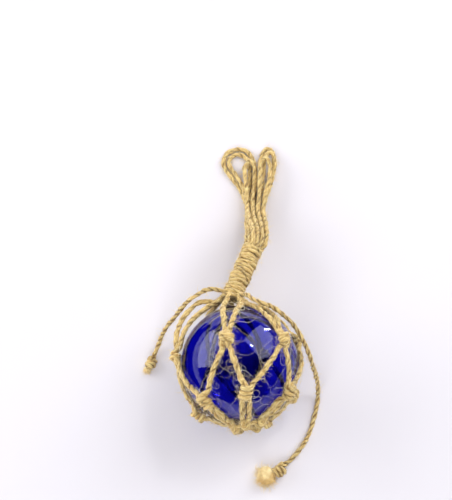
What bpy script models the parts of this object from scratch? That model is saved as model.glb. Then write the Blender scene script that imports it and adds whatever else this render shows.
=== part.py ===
# Glass float ball in a knotted jute net, lying on its side on a table.
# The modelling frame has the table at z = 0 and the ball's centre straight above its origin.
# The parent empty then moves everything so that the origin lies under the net's rear knot.

import math

import bmesh
import bpy
from mathutils import Matrix, Vector

MM = 0.001

# Driving sizes
GLASS_DIAMETER = 75 * MM
GLASS_TO_TABLE = 0.7 * MM
TWINE_DIAMETER = 3 * MM
CLEARANCE = 0.3 * MM
LOOP_GAP = 1.1 * MM
NET_YAW = math.radians(9.8)

KNOT_WIDTH = 8.6 * MM
KNOT_HEIGHT = 7.6 * MM
KNOT_DEPTH = 7.4 * MM
KNOT_BAND_TILT = math.radians(24)
LUMP_DIAMETER = 6.8 * MM
PAIR_SPACING = 4.2 * MM
NECK_RADIUS = 4.6 * MM
NECK_CORE_RADIUS = 5.1 * MM
NECK_APPROACH = 5 * MM
NECK_LATITUDE = 68
SLACK_AT_NECK = 0.4

WHIPPING_DIAMETER = 13.6 * MM
WHIPPING_TURN = 2.9 * MM
WHIPPING_TURNS = 13
WHIPPING_RIB_DEPTH = 0.75 * MM
TAIL_KNOT_LENGTH = 11 * MM
TAIL_KNOT_DIAMETER = 8 * MM
TAIL_KNOT_FLATNESS = 0.9
RIGHT_TUFT_LENGTH = 12 * MM
RIGHT_TUFT_WIDTH = 13 * MM
LEFT_TUFT_LENGTH = 6 * MM
LEFT_TUFT_WIDTH = 7 * MM
TUFT_THICKNESS = 4.5 * MM
TUFT_INSET = 1.1 * MM
TUFT_LIFT = 0.05 * MM
SMALL_KNOT_SHARE = 0.8

# Faceting
TUBE_STEP = 8.5 * MM
CORD_STEP = 9 * MM
ROUND_STEPS = 10
GLASS_STEPS = (24, 12)
LUMP_STEPS = (8, 4)
KNOT_STEPS = (8, 5)
RING_STEPS = (12, 6)
TAIL_KNOT_STEPS = (12, 8)
CAP_WELD = 0.02 * MM

# Knots as (latitude, longitude) in degrees about the net's axis. Longitude 0 faces up.
TOP_KNOTS = [(15, -10), (9, 45), (14, 100), (14, 151), (14, 209), (16, 274)]
# The two strands above each: (longitude at the neck, how many millimetres it bows out from the glass)
UPPER_STRANDS = [
    ((-18, 0), (35, 0)), ((37, 0), (90, 0)), ((92, 0), (145, 0)),
    ((143, 0), (196, 0)), ((201, 0), (254, 0)), ((262, 10), (280, 4.5)),
]
MIDDLE_KNOTS = [(-34, -1), (-38, 54), (-34, 117), (-32, 180), (-40, 258), (-34, 310)]
LUMP_LATITUDE = -75
LUMP_LONGITUDES = [-20, 32, 92, 160, 232, 292]
REST_KNOT = 3

# The neck: the whipping's lower and upper ends, in the modelling frame.
NECK_BASE = Vector((-4.6, 45.0, 38.8)) * MM
WHIPPING_AIM = Vector((13.7, 34.2, -8.3)).normalized()

# Routes of the free cords, in millimetres, in the modelling frame.
BUNDLE_ROUTE = [
    (10.9, 84.0, 29.2), (11.6, 89.5, 25.2), (11.4, 96.8, 17.6), (10.8, 104.9, 9.6), (10.9, 113.0, 5.5),
]
BUNDLE_TWIST = math.radians(-40)
SLOT_SPACING = 3.6 * MM
LOOP_ROUTES = {
    "loop_1": (0, 0, [
        (4.6, 118.5, 1.75), (1.0, 127.0, 1.65), (-4.1, 134.5, 1.65), (-8.9, 141.0, 1.65),
        (-10.6, 147.5, 1.65), (-7.8, 153.5, 1.65), (-1.3, 156.5, 1.65), (5.6, 154.6, 1.65),
        (9.8, 148.0, 1.65), (11.0, 138.0, 1.65), (10.5, 127.0, 1.65), (9.6, 119.0, 1.75),
    ]),
    "loop_2": (0, 1, [
        (4.8, 119.5, 5.4), (3.2, 126.5, 5.3), (0.3, 133.0, 3.9), (-3.0, 138.5, 2.2),
        (-5.4, 142.6, 1.7), (-6.9, 147.2, 1.65), (-5.0, 150.9, 1.65), (-1.0, 152.6, 1.65),
        (3.4, 151.4, 1.65), (6.3, 146.8, 1.65), (7.4, 138.4, 1.65), (7.0, 129.5, 2.4),
        (6.9, 122.0, 4.4),
    ]),
    "loop_3": (0, 2, [
        (5.1, 120.5, 8.8), (4.7, 128.0, 8.3), (4.1, 135.5, 6.0), (4.0, 142.0, 5.2),
        (7.2, 147.0, 5.2), (10.4, 142.5, 5.2), (10.6, 134.5, 5.2), (10.0, 127.0, 6.0),
        (9.2, 120.5, 8.2),
    ]),
    "loop_4": (2, 0, [
        (13.6, 122.0, 1.75), (14.4, 130.0, 1.65), (14.8, 140.0, 1.65), (15.2, 149.5, 1.65),
        (18.6, 156.4, 1.65), (22.8, 155.2, 1.65), (24.2, 149.0, 1.65), (22.9, 140.0, 1.65),
        (20.2, 129.5, 1.65), (17.8, 120.5, 1.75),
    ]),
    "loop_5": (2, 1, [
        (13.9, 122.0, 5.4), (15.6, 130.0, 5.4), (16.9, 139.0, 5.4), (17.3, 146.5, 5.4),
        (20.0, 152.4, 5.4), (23.4, 151.0, 5.4), (24.4, 144.0, 5.4), (23.2, 136.5, 5.4),
        (20.6, 127.5, 5.4), (18.0, 119.8, 5.4),
    ]),
    "loop_6": (2, 2, [
        (13.6, 121.0, 9.2), (14.0, 130.0, 9.2), (14.2, 138.0, 9.2), (14.8, 144.0, 9.2),
        (17.9, 147.6, 9.2), (20.8, 143.6, 9.1), (20.9, 136.0, 9.0), (19.6, 128.0, 9.1),
        (17.4, 120.4, 9.2),
    ]),
}
RIGHT_TAIL_ROUTE = [
    (3.2, 46.2, 45.6), (4.6, 42.6, 51.0), (8.2, 38.6, 55.6), (13.7, 35.6, 58.1),
    (21.9, 32.5, 55.8), (30.0, 26.1, 54.5), (35.7, 19.6, 52.0), (39.8, 13.2, 48.5),
    (43.2, 7.0, 42.6), (46.2, 0.9, 33.6), (48.9, -4.2, 22.4), (51.0, -9.3, 10.6),
    (51.2, -15.6, 3.2), (50.5, -22.0, 1.6), (48.9, -28.6, 1.6), (46.4, -36.4, 1.6),
    (42.8, -44.1, 1.6), (38.0, -50.9, 1.6), (33.3, -55.8, 1.6), (29.9, -58.6, 1.7),
]
LEFT_TAIL_ROUTE = [
    (-12.6, 46.8, 42.6), (-17.2, 47.9, 43.2), (-22.6, 47.2, 42.4), (-31.1, 42.9, 38.4),
    (-36.7, 38.8, 33.0), (-42.3, 33.6, 25.0), (-48.5, 28.0, 15.5), (-52.1, 22.3, 8.0),
    (-54.5, 17.2, 3.6), (-56.7, 11.7, 2.3),
]

JUTE_COLOUR = (0.56, 0.40, 0.19, 1)
GLASS_COLOUR = (0.01, 0.012, 0.42, 1)

GLASS_RADIUS = GLASS_DIAMETER / 2
BALL_HEIGHT = GLASS_RADIUS + GLASS_TO_TABLE
BALL_CENTRE = Vector((0, 0, BALL_HEIGHT))
CHORD_SAG = TUBE_STEP ** 2 / (8 * GLASS_RADIUS)
CORD_RADIUS = GLASS_RADIUS + CLEARANCE + CHORD_SAG + TWINE_DIAMETER / 2
KNOT_RADIUS = GLASS_RADIUS + CLEARANCE + KNOT_DEPTH / 2
LUMP_RADIUS = GLASS_RADIUS + CLEARANCE + LUMP_DIAMETER / 2
WHIPPING_LENGTH = WHIPPING_TURN * WHIPPING_TURNS
WHIPPING_TOP = NECK_BASE + WHIPPING_AIM * WHIPPING_LENGTH

NET_AXIS = Vector((-math.sin(NET_YAW), math.cos(NET_YAW), 0))
NET_SIDE = Vector((math.cos(NET_YAW), math.sin(NET_YAW), 0))
UP = Vector((0, 0, 1))


def clear_scene():
    for obj in list(bpy.data.objects):
        bpy.data.objects.remove(obj)


def make_collection(name, hidden=False):
    collection = bpy.data.collections.new(name)
    bpy.context.scene.collection.children.link(collection)
    collection.hide_render = hidden
    return collection


def make_material(name, colour, roughness, transmission=0.0):
    material = bpy.data.materials.new(name)
    material.use_nodes = True
    shader = material.node_tree.nodes["Principled BSDF"]
    shader.inputs["Base Color"].default_value = colour
    shader.inputs["Roughness"].default_value = roughness
    shader.inputs["Metallic"].default_value = 0.0
    shader.inputs["Transmission Weight"].default_value = transmission
    return material


def add_object(name, data, collection, material=None):
    obj = bpy.data.objects.new(name, data)
    collection.objects.link(obj)
    if material:
        data.materials.append(material)
    return obj


def direction(latitude, longitude):
    lat = math.radians(latitude)
    lon = math.radians(longitude)
    around = NET_SIDE * math.sin(lon) + UP * math.cos(lon)
    return around * math.cos(lat) + NET_AXIS * math.sin(lat)


def on_ball(latitude, longitude, radius):
    return BALL_CENTRE + direction(latitude, longitude) * radius


def arc_on_ball(start, end, radius, step=TUBE_STEP):
    # The shortest way over the ball, which a taut strand takes
    a = direction(*start)
    b = direction(*end)
    angle = a.angle(b)
    count = max(2, math.ceil(angle * radius / step))
    return [BALL_CENTRE + a.slerp(b, i / count) * radius for i in range(count + 1)]


def smooth_line(points, step):
    # A Catmull-Rom curve through the points, read at equal distances
    ends = [points[0] * 2 - points[1], *points, points[-1] * 2 - points[-2]]
    fine = [points[0]]
    per_span = 12
    for i in range(len(points) - 1):
        p0, p1, p2, p3 = ends[i:i + 4]
        for k in range(1, per_span + 1):
            t = k / per_span
            fine.append(0.5 * (
                2 * p1 + (p2 - p0) * t + (2 * p0 - 5 * p1 + 4 * p2 - p3) * t ** 2
                + (3 * p1 - p0 - 3 * p2 + p3) * t ** 3
            ))
    lengths = [(b - a).length for a, b in zip(fine, fine[1:])]
    total = sum(lengths)
    count = max(2, round(total / step))
    line = [fine[0]]
    walked = 0.0
    for a, b, length in zip(fine, fine[1:], lengths):
        while len(line) < count and walked + length >= total * len(line) / count:
            share = (total * len(line) / count - walked) / length
            line.append(a.lerp(b, share))
        walked += length
    line.append(fine[-1])
    return line


def tube_curve(name, line, radius, resolution=2):
    curve = bpy.data.curves.new(name, "CURVE")
    curve.dimensions = "3D"
    curve.bevel_depth = radius
    curve.bevel_resolution = resolution
    curve.use_fill_caps = True
    spline = curve.splines.new("POLY")
    spline.points.add(len(line) - 1)
    for point, place in zip(spline.points, line):
        point.co = (*place, 1)
        point.radius = 1
    spline.use_smooth = True
    return curve


def tube_mesh(name, line, radius, collection):
    # A tube as a closed mesh, which a Boolean can take
    guide = add_object(name + "_guide", tube_curve(name, line, radius, 1), collection)
    bpy.context.view_layer.update()
    depsgraph = bpy.context.evaluated_depsgraph_get()
    mesh = bpy.data.meshes.new_from_object(guide.evaluated_get(depsgraph))
    bm = bmesh.new()
    bm.from_mesh(mesh)
    bmesh.ops.remove_doubles(bm, verts=bm.verts, dist=CAP_WELD)
    bmesh.ops.recalc_face_normals(bm, faces=bm.faces)
    bm.to_mesh(mesh)
    bm.free()
    obj = add_object(name, mesh, collection)
    obj.matrix_world = guide.matrix_world
    bpy.data.objects.remove(guide)
    return obj


def ball_mesh(name, size, steps):
    mesh = bpy.data.meshes.new(name)
    bm = bmesh.new()
    bmesh.ops.create_uvsphere(bm, u_segments=steps[0], v_segments=steps[1], radius=0.5)
    bmesh.ops.scale(bm, verts=bm.verts, vec=size)
    bm.to_mesh(mesh)
    bm.free()
    return mesh


def torus_mesh(name, major_radius, minor_radius, steps):
    bpy.ops.mesh.primitive_torus_add(
        major_radius=major_radius, minor_radius=minor_radius,
        major_segments=steps[0], minor_segments=steps[1],
    )
    obj = bpy.context.object
    mesh = obj.data
    mesh.name = name
    bpy.data.objects.remove(obj)
    return mesh


def facing(latitude, longitude, radius):
    # X to the right along the net, Y up the net, Z away from the ball
    outward = direction(latitude, longitude)
    right = NET_AXIS.cross(outward).normalized()
    up = outward.cross(right)
    turn = Matrix((right, up, outward)).transposed()
    return Matrix.LocRotScale(BALL_CENTRE + outward * radius, turn.to_quaternion(), None)


def build_glass(collection, material):
    mesh = ball_mesh("glass_ball", Vector((1, 1, 1)) * GLASS_DIAMETER, GLASS_STEPS)
    glass = add_object("glass_ball", mesh, collection, material)
    glass.location = BALL_CENTRE
    glass.data.shade_smooth()
    return glass


def upper_strand(start, neck_longitude, slack):
    # From a top knot over the ball's shoulder into the whipping
    arc = arc_on_ball(start, (NECK_LATITUDE, neck_longitude), CORD_RADIUS)
    line = []
    for i, place in enumerate(arc):
        left = 1 - i / (len(arc) - 1)
        line.append(place + (place - BALL_CENTRE).normalized() * slack * (1 - left ** 2))
    side = WHIPPING_AIM.cross(UP).normalized()
    top = side.cross(WHIPPING_AIM)
    angle = math.radians(neck_longitude)
    out = side * math.sin(angle) + top * math.cos(angle)
    end = NECK_BASE - WHIPPING_AIM * CLEARANCE + out * NECK_RADIUS
    lift = end - WHIPPING_AIM * NECK_APPROACH - BALL_CENTRE
    least = CORD_RADIUS + CLEARANCE + slack * SLACK_AT_NECK
    line.append(BALL_CENTRE + lift.normalized() * max(lift.length, least))
    line.append(end - WHIPPING_AIM * TWINE_DIAMETER / 2)
    line.append(end)
    return line


def net_strands(collection):
    radius = TWINE_DIAMETER / 2
    count = len(TOP_KNOTS)
    for i, top in enumerate(TOP_KNOTS):
        for side, (longitude, slack) in zip(("left", "right"), UPPER_STRANDS[i]):
            line = upper_strand(top, longitude, slack * MM)
            tube_mesh(f"upper_{i}_{side}", line, radius, collection)
        for side, middle in (("left", MIDDLE_KNOTS[i - 1]), ("right", MIDDLE_KNOTS[i])):
            line = arc_on_ball(top, middle, CORD_RADIUS)
            tube_mesh(f"crossing_{i}_{side}", line, radius, collection)
    for i in range(count):
        centre = arc_on_ball(MIDDLE_KNOTS[i], (LUMP_LATITUDE, LUMP_LONGITUDES[i]), CORD_RADIUS)
        run = (centre[-1] - centre[0]).normalized()
        for side in (-1, 1):
            line = []
            for place in centre:
                outward = (place - BALL_CENTRE).normalized()
                beside = run.cross(outward).normalized() * side * PAIR_SPACING / 2
                line.append(BALL_CENTRE + (place - BALL_CENTRE + beside).normalized() * CORD_RADIUS)
            tube_mesh(f"lower_{i}_{side}", line, radius, collection)


def net_knots(collection):
    # Each knot is a lump with a turn of twine laid over it
    lump = ball_mesh("knot_lump", Vector((KNOT_WIDTH, KNOT_HEIGHT, KNOT_DEPTH)), KNOT_STEPS)
    band_radius = KNOT_WIDTH / 2 - TWINE_DIAMETER / 2
    band = torus_mesh("knot_band", band_radius, TWINE_DIAMETER / 2, KNOT_STEPS)
    flatten = Matrix.Diagonal((1, KNOT_DEPTH / KNOT_WIDTH, 1, 1))
    for i, (latitude, longitude) in enumerate(TOP_KNOTS + MIDDLE_KNOTS):
        place = facing(latitude, longitude, KNOT_RADIUS)
        tilt = KNOT_BAND_TILT if i % 2 else -KNOT_BAND_TILT
        add_object(f"knot_lump_{i}", lump, collection).matrix_world = place
        turn = Matrix.Rotation(tilt, 4, "Z") @ Matrix.Rotation(math.pi / 2, 4, "X")
        add_object(f"knot_band_{i}", band, collection).matrix_world = place @ turn @ flatten


def net_bottom(collection):
    lump = ball_mesh("end_lump", Vector((1, 1, 1)) * LUMP_DIAMETER, LUMP_STEPS)
    for i, longitude in enumerate(LUMP_LONGITUDES):
        place = facing(LUMP_LATITUDE, longitude, LUMP_RADIUS)
        add_object(f"end_lump_{i}", lump, collection).matrix_world = place
    latitude = math.radians(LUMP_LATITUDE)
    ring = torus_mesh("end_ring", LUMP_RADIUS * math.cos(latitude), TWINE_DIAMETER / 2, RING_STEPS)
    place = facing(-90, 0, -LUMP_RADIUS * math.sin(latitude))
    return ring, place


def net_neck(collection):
    # The packed middle of the twelve strands, between the ball and the whipping
    mesh = bpy.data.meshes.new("neck_core")
    bm = bmesh.new()
    bmesh.ops.create_cone(
        bm, cap_ends=True, segments=ROUND_STEPS, radius1=NECK_CORE_RADIUS, radius2=NECK_CORE_RADIUS,
        depth=NECK_APPROACH,
    )
    bm.to_mesh(mesh)
    bm.free()
    core = add_object("neck_core", mesh, collection)
    middle = NECK_BASE - WHIPPING_AIM * (CLEARANCE + NECK_APPROACH / 2)
    core.matrix_world = Matrix.LocRotScale(middle, WHIPPING_AIM.to_track_quat("Z", "Y"), None)


def build_net(collection, cutters, material):
    pieces = bpy.data.collections.new("net_strands")
    cutters.children.link(pieces)
    net_strands(pieces)
    net_knots(pieces)
    net_neck(pieces)
    ring, place = net_bottom(pieces)
    net = add_object("net", ring, collection, material)
    net.matrix_world = place
    join = net.modifiers.new("join_strands", "BOOLEAN")
    join.operation = "UNION"
    join.operand_type = "COLLECTION"
    join.collection = pieces
    join.use_self = True
    table_size = 4 * GLASS_DIAMETER
    table = bpy.data.meshes.new("table")
    bm = bmesh.new()
    bmesh.ops.create_cube(bm, size=table_size)
    bm.to_mesh(table)
    bm.free()
    table_cutter = add_object("table_cutter", table, cutters)
    table_cutter.location = (0, 0, -table_size / 2)
    flat = net.modifiers.new("flatten_underside", "BOOLEAN")
    flat.operation = "DIFFERENCE"
    flat.object = table_cutter
    for obj in [*pieces.objects, table_cutter]:
        obj.hide_render = True
        obj.display_type = "WIRE"
    return net, [*pieces.objects, table_cutter]


def build_whipping(collection, material):
    # Ribbed turns from the upper end down to the lower end, turned about Z
    outer = WHIPPING_DIAMETER / 2
    valley = outer - WHIPPING_RIB_DEPTH
    profile = [(0, WHIPPING_LENGTH), (valley, WHIPPING_LENGTH)]
    for turn in range(WHIPPING_TURNS):
        top = WHIPPING_LENGTH - turn * WHIPPING_TURN
        profile.append((outer, top - WHIPPING_TURN / 2))
        profile.append((valley, top - WHIPPING_TURN))
    profile.append((0, 0))
    mesh = bpy.data.meshes.new("whipping")
    bm = bmesh.new()
    verts = [bm.verts.new((x, 0, z)) for x, z in profile]
    for a, b in zip(verts, verts[1:]):
        bm.edges.new((a, b))
    bm.to_mesh(mesh)
    bm.free()
    whipping = add_object("whipping", mesh, collection, material)
    turned = whipping.modifiers.new("turned", "SCREW")
    turned.steps = ROUND_STEPS
    turned.render_steps = ROUND_STEPS
    turned.use_merge_vertices = True
    turned.merge_threshold = 0.0001
    whipping.matrix_world = Matrix.LocRotScale(NECK_BASE, WHIPPING_AIM.to_track_quat("Z", "Y"), None)
    return whipping


def bundle_slots(column, row):
    # The way of one leg of a loop inside the bundle that leaves the whipping
    centre = [WHIPPING_TOP + WHIPPING_AIM * LOOP_GAP] + [Vector(p) * MM for p in BUNDLE_ROUTE]
    line = []
    for i, place in enumerate(centre):
        if i == 0:
            run = WHIPPING_AIM
        elif i == len(centre) - 1:
            run = Vector((0, 1, 0))
        else:
            run = (centre[i + 1] - centre[i - 1]).normalized()
        side = run.cross(UP).normalized()
        top = side.cross(run)
        twist = Matrix.Rotation(BUNDLE_TWIST * (1 - i / (len(centre) - 1)), 2)
        slot = twist @ Vector((column - 1.5, row - 1)) * SLOT_SPACING
        line.append(place + side * slot.x + top * slot.y)
    return line


def build_loops(collection, material):
    loops = []
    for name, (column, row, outline) in LOOP_ROUTES.items():
        out = bundle_slots(column, row)
        back = bundle_slots(column + 1, row)
        route = out + [Vector(p) * MM for p in outline] + back[::-1]
        curve = tube_curve(name, smooth_line(route, CORD_STEP), TWINE_DIAMETER / 2)
        loops.append(add_object(name, curve, collection, material))
    return loops


def build_tail(name, route, collection, material):
    line = smooth_line([Vector(p) * MM for p in route], CORD_STEP)
    return add_object(name, tube_curve(name, line, TWINE_DIAMETER / 2), collection, material)


def build_tail_knot(name, route, knot_share, tuft_size, collection, cutters, material):
    # A lump that the cord runs into, with its frayed end fanned out beyond it
    tuft_length, tuft_width = tuft_size
    end = Vector(route[-1]) * MM
    run = end - Vector(route[-2]) * MM
    run.z = 0
    run.normalize()
    length = TAIL_KNOT_LENGTH * knot_share
    width = TAIL_KNOT_DIAMETER * knot_share
    depth = width * TAIL_KNOT_FLATNESS
    turn = run.to_track_quat("Y", "Z")
    centre = end + run * (length / 2 + CLEARANCE)
    centre.z = depth / 2
    lump = ball_mesh(name, Vector((width, length, depth)), TAIL_KNOT_STEPS)
    knot = add_object(name, lump, collection, material)
    knot.matrix_world = Matrix.LocRotScale(centre, turn, None)
    mesh = bpy.data.meshes.new(name + "_tuft")
    bm = bmesh.new()
    bmesh.ops.create_cone(
        bm, cap_ends=True, segments=ROUND_STEPS, radius1=tuft_width / 2, radius2=TWINE_DIAMETER / 2,
        depth=tuft_length,
    )
    bmesh.ops.rotate(bm, verts=bm.verts, matrix=Matrix.Rotation(-math.pi / 2, 3, "X"))
    bmesh.ops.scale(bm, verts=bm.verts, vec=(1, -1, TUFT_THICKNESS / tuft_width))
    bmesh.ops.recalc_face_normals(bm, faces=bm.faces)
    bm.to_mesh(mesh)
    bm.free()
    tuft = add_object(name + "_tuft", mesh, cutters)
    place = centre + run * (length / 2 - TUFT_INSET + tuft_length / 2)
    place.z = TUFT_THICKNESS / 2 + TUFT_LIFT
    tuft.matrix_world = Matrix.LocRotScale(place, turn, None)
    tuft.hide_render = True
    tuft.display_type = "WIRE"
    join = knot.modifiers.new("join_tuft", "BOOLEAN")
    join.operation = "UNION"
    join.object = tuft
    return knot, tuft


def main():
    clear_scene()
    collection = make_collection("glass_float")
    cutters = make_collection("cutters", hidden=True)
    jute = make_material("jute_twine", JUTE_COLOUR, 0.9)
    glass = make_material("cobalt_glass", GLASS_COLOUR, 0.05, 0.6)

    net, cut = build_net(collection, cutters, jute)
    parts = [build_glass(collection, glass), net, build_whipping(collection, jute)]
    parts += build_loops(collection, jute)
    parts.append(build_tail("tail_right", RIGHT_TAIL_ROUTE, collection, jute))
    parts.append(build_tail("tail_left", LEFT_TAIL_ROUTE, collection, jute))
    right_size = (RIGHT_TUFT_LENGTH, RIGHT_TUFT_WIDTH)
    right_knot, right_tuft = build_tail_knot(
        "tail_right_knot", RIGHT_TAIL_ROUTE, 1, right_size, collection, cutters, jute,
    )
    left_size = (LEFT_TUFT_LENGTH, LEFT_TUFT_WIDTH)
    left_knot, left_tuft = build_tail_knot(
        "tail_left_knot", LEFT_TAIL_ROUTE, SMALL_KNOT_SHARE, left_size, collection, cutters, jute,
    )
    parts += [right_knot, left_knot]

    # The origin goes under the rear knot, whose flattened underside rests on the table
    rest = on_ball(*MIDDLE_KNOTS[REST_KNOT], KNOT_RADIUS)
    frame = bpy.data.objects.new("table_frame", None)
    collection.objects.link(frame)
    frame.location = (-rest.x, -rest.y, 0)
    for obj in parts + cut + [right_tuft, left_tuft]:
        obj.parent = frame


main()
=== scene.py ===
# Glass float ball in a knotted jute net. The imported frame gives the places, this script gives the looks.
import math
import random

import bpy
import numpy as np
from mathutils import Matrix, Vector


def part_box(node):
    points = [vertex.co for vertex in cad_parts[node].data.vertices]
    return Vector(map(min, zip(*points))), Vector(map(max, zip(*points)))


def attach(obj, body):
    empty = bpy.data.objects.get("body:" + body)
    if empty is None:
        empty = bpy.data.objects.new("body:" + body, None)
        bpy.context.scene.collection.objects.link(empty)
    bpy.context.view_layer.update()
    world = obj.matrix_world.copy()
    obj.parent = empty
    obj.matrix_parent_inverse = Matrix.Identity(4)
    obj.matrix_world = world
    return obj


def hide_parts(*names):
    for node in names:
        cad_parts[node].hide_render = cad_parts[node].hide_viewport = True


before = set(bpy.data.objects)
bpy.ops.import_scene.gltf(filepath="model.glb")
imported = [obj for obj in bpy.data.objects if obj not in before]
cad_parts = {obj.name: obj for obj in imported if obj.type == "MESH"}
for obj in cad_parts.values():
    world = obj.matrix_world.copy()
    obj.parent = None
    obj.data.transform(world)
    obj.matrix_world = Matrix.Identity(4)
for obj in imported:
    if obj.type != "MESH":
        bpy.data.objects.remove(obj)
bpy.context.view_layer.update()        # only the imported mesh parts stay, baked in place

scene = bpy.context.scene
mm = 0.001
body = "root"

ballLow, ballHigh = (Vector(corner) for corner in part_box("glass_ball"))
ballCentre = (ballLow + ballHigh) / 2
ballRadius = (ballHigh.z - ballLow.z) / 2
underBall = Vector((ballCentre.x, ballCentre.y, 0))  # the point of the table straight under the ball
up = Vector((0, 0, 1))

# Where each piece's random draws start
seeds = {
    "loop": 20, "tail": 40, "net": 100, "ring": 99, "whipping": 7,
    "tuft": 300, "netFibres": 61, "cordFibres": 62, "longFibres": 77,
}


def onTable(point):
    # Routes are in millimetres, counted from the point of the table under the ball
    return underBall + Vector(point) * mm


def deselectAll():
    for obj in list(bpy.context.selected_objects):
        obj.select_set(False)


def addObject(name, data):
    obj = bpy.data.objects.new(name, data)
    scene.collection.objects.link(obj)
    return obj


def settle(obj, material, *replaced, slot="jute"):
    # A finished piece: its finish, its body and the nodes it stands for
    obj.data.materials.clear()
    obj.data.materials.append(material)
    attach(obj, body)
    if replaced:
        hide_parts(*replaced)
    return obj


# The camera looks down on the float as it lies
photoView = {
    "place": (-8.88, -153.5, 908.73),
    "downTilt": 75.283,  # degrees under the horizon
    "lens": 100,
    "sensor": 36,
}
cameraData = bpy.data.cameras.new("camera")
cameraData.lens = photoView["lens"]
cameraData.sensor_width = photoView["sensor"]
camera = addObject("camera", cameraData)
camera.location = onTable(photoView["place"])
camera.rotation_euler = (math.radians(90 - photoView["downTilt"]), 0, 0)
scene.camera = camera
print("camera placed")


# Colours and shader nodes

def toLinear(hexColour):
    channels = [int(hexColour[i:i + 2], 16) / 255 for i in (1, 3, 5)]
    linear = [c / 12.92 if c <= 0.04045 else ((c + 0.055) / 1.055) ** 2.4 for c in channels]
    return (*linear, 1)


def addNode(tree, kind, settings, links=None):
    node = tree.nodes.new(kind)
    for name, value in settings.items():
        if isinstance(name, int) or name in node.inputs:
            node.inputs[name].default_value = value
        else:
            setattr(node, name, value)
    for name, source in (links or {}).items():
        tree.links.new(source, node.inputs[name])
    return node


def newMaterial(name):
    material = bpy.data.materials.new(name)
    material.use_nodes = True
    tree = material.node_tree
    return material, tree, tree.nodes["Principled BSDF"]


twineFinish = {
    "crest": "#FFEFA9",
    "body": "#F4D084",
    # painted shade: the dark brown painted between the plies
    "valley": "#644014",
    "darkFibre": "#A67634",
    # All in mm. A real jute fibre is a few hundredths wide, too fine to show, so these are coarser.
    "fibreWidth": 0.42,
    "fibreLength": 3.6,
    "bumpHeight": 0.4,
    "patchLength": 16.0,
    "roughness": 0.88,
}


def makeTwine():
    # Spun jute: dull and rough, with straw and tan fibres along it, and painted shade, a dark brown,
    # between the plies
    f = twineFinish
    material, tree, shader = newMaterial("spunJute")
    uv = addNode(tree, "ShaderNodeTexCoord", {}).outputs["UV"]
    alongFibres = addNode(tree, "ShaderNodeMapping", {
        "Scale": (1 / (f["fibreWidth"] * mm), 1 / (f["fibreLength"] * mm), 1),
    }, {"Vector": uv}).outputs["Vector"]
    fibres = addNode(tree, "ShaderNodeTexNoise", {"Scale": 1.0, "Detail": 3.0}, {"Vector": alongFibres})
    patchy = addNode(tree, "ShaderNodeTexNoise", {
        "Scale": 1 / (f["patchLength"] * mm), "Detail": 2.0,
    }, {"Vector": uv})
    valley = addNode(tree, "ShaderNodeAttribute", {"attribute_name": "valley"}).outputs["Fac"]

    streak = addNode(tree, "ShaderNodeMapRange", {
        "From Min": 0.36, "From Max": 0.66,
    }, {"Value": fibres.outputs["Fac"]})
    pale = addNode(tree, "ShaderNodeMix", {
        "data_type": "RGBA", 6: toLinear(f["darkFibre"]), 7: toLinear(f["crest"]),
    }, {0: streak.outputs["Result"]}).outputs[2]
    patchShare = addNode(tree, "ShaderNodeMapRange", {
        "From Min": 0.35, "From Max": 0.7, "To Min": 0.0, "To Max": 0.45,
    }, {"Value": patchy.outputs["Fac"]})
    mixed = addNode(tree, "ShaderNodeMix", {
        "data_type": "RGBA", 7: toLinear(f["body"]),
    }, {0: patchShare.outputs["Result"], 6: pale}).outputs[2]
    # Painted shade: the colour turns towards the dark brown where the valley between the plies is open
    depth = addNode(tree, "ShaderNodeMapRange", {
        "From Min": 0.2, "From Max": 0.9, "To Min": 0.0, "To Max": 0.85,
    }, {"Value": valley})
    colour = addNode(tree, "ShaderNodeMix", {
        "data_type": "RGBA", 7: toLinear(f["valley"]),
    }, {0: depth.outputs["Result"], 6: mixed}).outputs[2]
    tree.links.new(colour, shader.inputs["Base Color"])

    bump = addNode(tree, "ShaderNodeBump", {
        "Strength": 0.8, "Distance": f["bumpHeight"] * mm,
    }, {"Height": fibres.outputs["Fac"]})
    tree.links.new(bump.outputs["Normal"], shader.inputs["Normal"])
    shader.inputs["Roughness"].default_value = f["roughness"]
    shader.inputs["Specular IOR Level"].default_value = 0.25
    shader.inputs["Sheen Weight"].default_value = 0.25
    shader.inputs["Sheen Roughness"].default_value = 0.6
    return material


fibreFinish = {
    "combedJuteFibre": {"pale": "#FFEDB8", "dark": "#EBCB88"},  # frayed ends and short fuzz
    "strayJuteFibrePaintedLit": {"pale": "#FFF9DE", "dark": "#F6DEA4"},  # long single fibres, painted nearly white so that they look brightly lit
    "roughness": 0.7,
    "change": 9.0,  # mm from a pale patch to a darker one
}


def makeFibre(name):
    # Loose jute fibre: thin, pale straw, a little silky
    f = fibreFinish
    material, tree, shader = newMaterial(name)
    place = addNode(tree, "ShaderNodeTexCoord", {}).outputs["Object"]
    noise = addNode(tree, "ShaderNodeTexNoise", {
        "Scale": 1 / (f["change"] * mm), "Detail": 1.0,
    }, {"Vector": place})
    share = addNode(tree, "ShaderNodeMapRange", {
        "From Min": 0.4, "From Max": 0.65,
    }, {"Value": noise.outputs["Fac"]})
    colour = addNode(tree, "ShaderNodeMix", {
        "data_type": "RGBA", 6: toLinear(f[name]["pale"]), 7: toLinear(f[name]["dark"]),
    }, {0: share.outputs["Result"]}).outputs[2]
    tree.links.new(colour, shader.inputs["Base Color"])
    shader.inputs["Roughness"].default_value = f["roughness"]
    shader.inputs["Sheen Weight"].default_value = 0.2
    return material


glassFinish = {
    "bodyColour": "#0000EF",  # the colour that the wall lets through
    "absorption": 850.0,  # per metre of glass
    "ior": 1.5,
    "roughness": 0.0,
}


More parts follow.
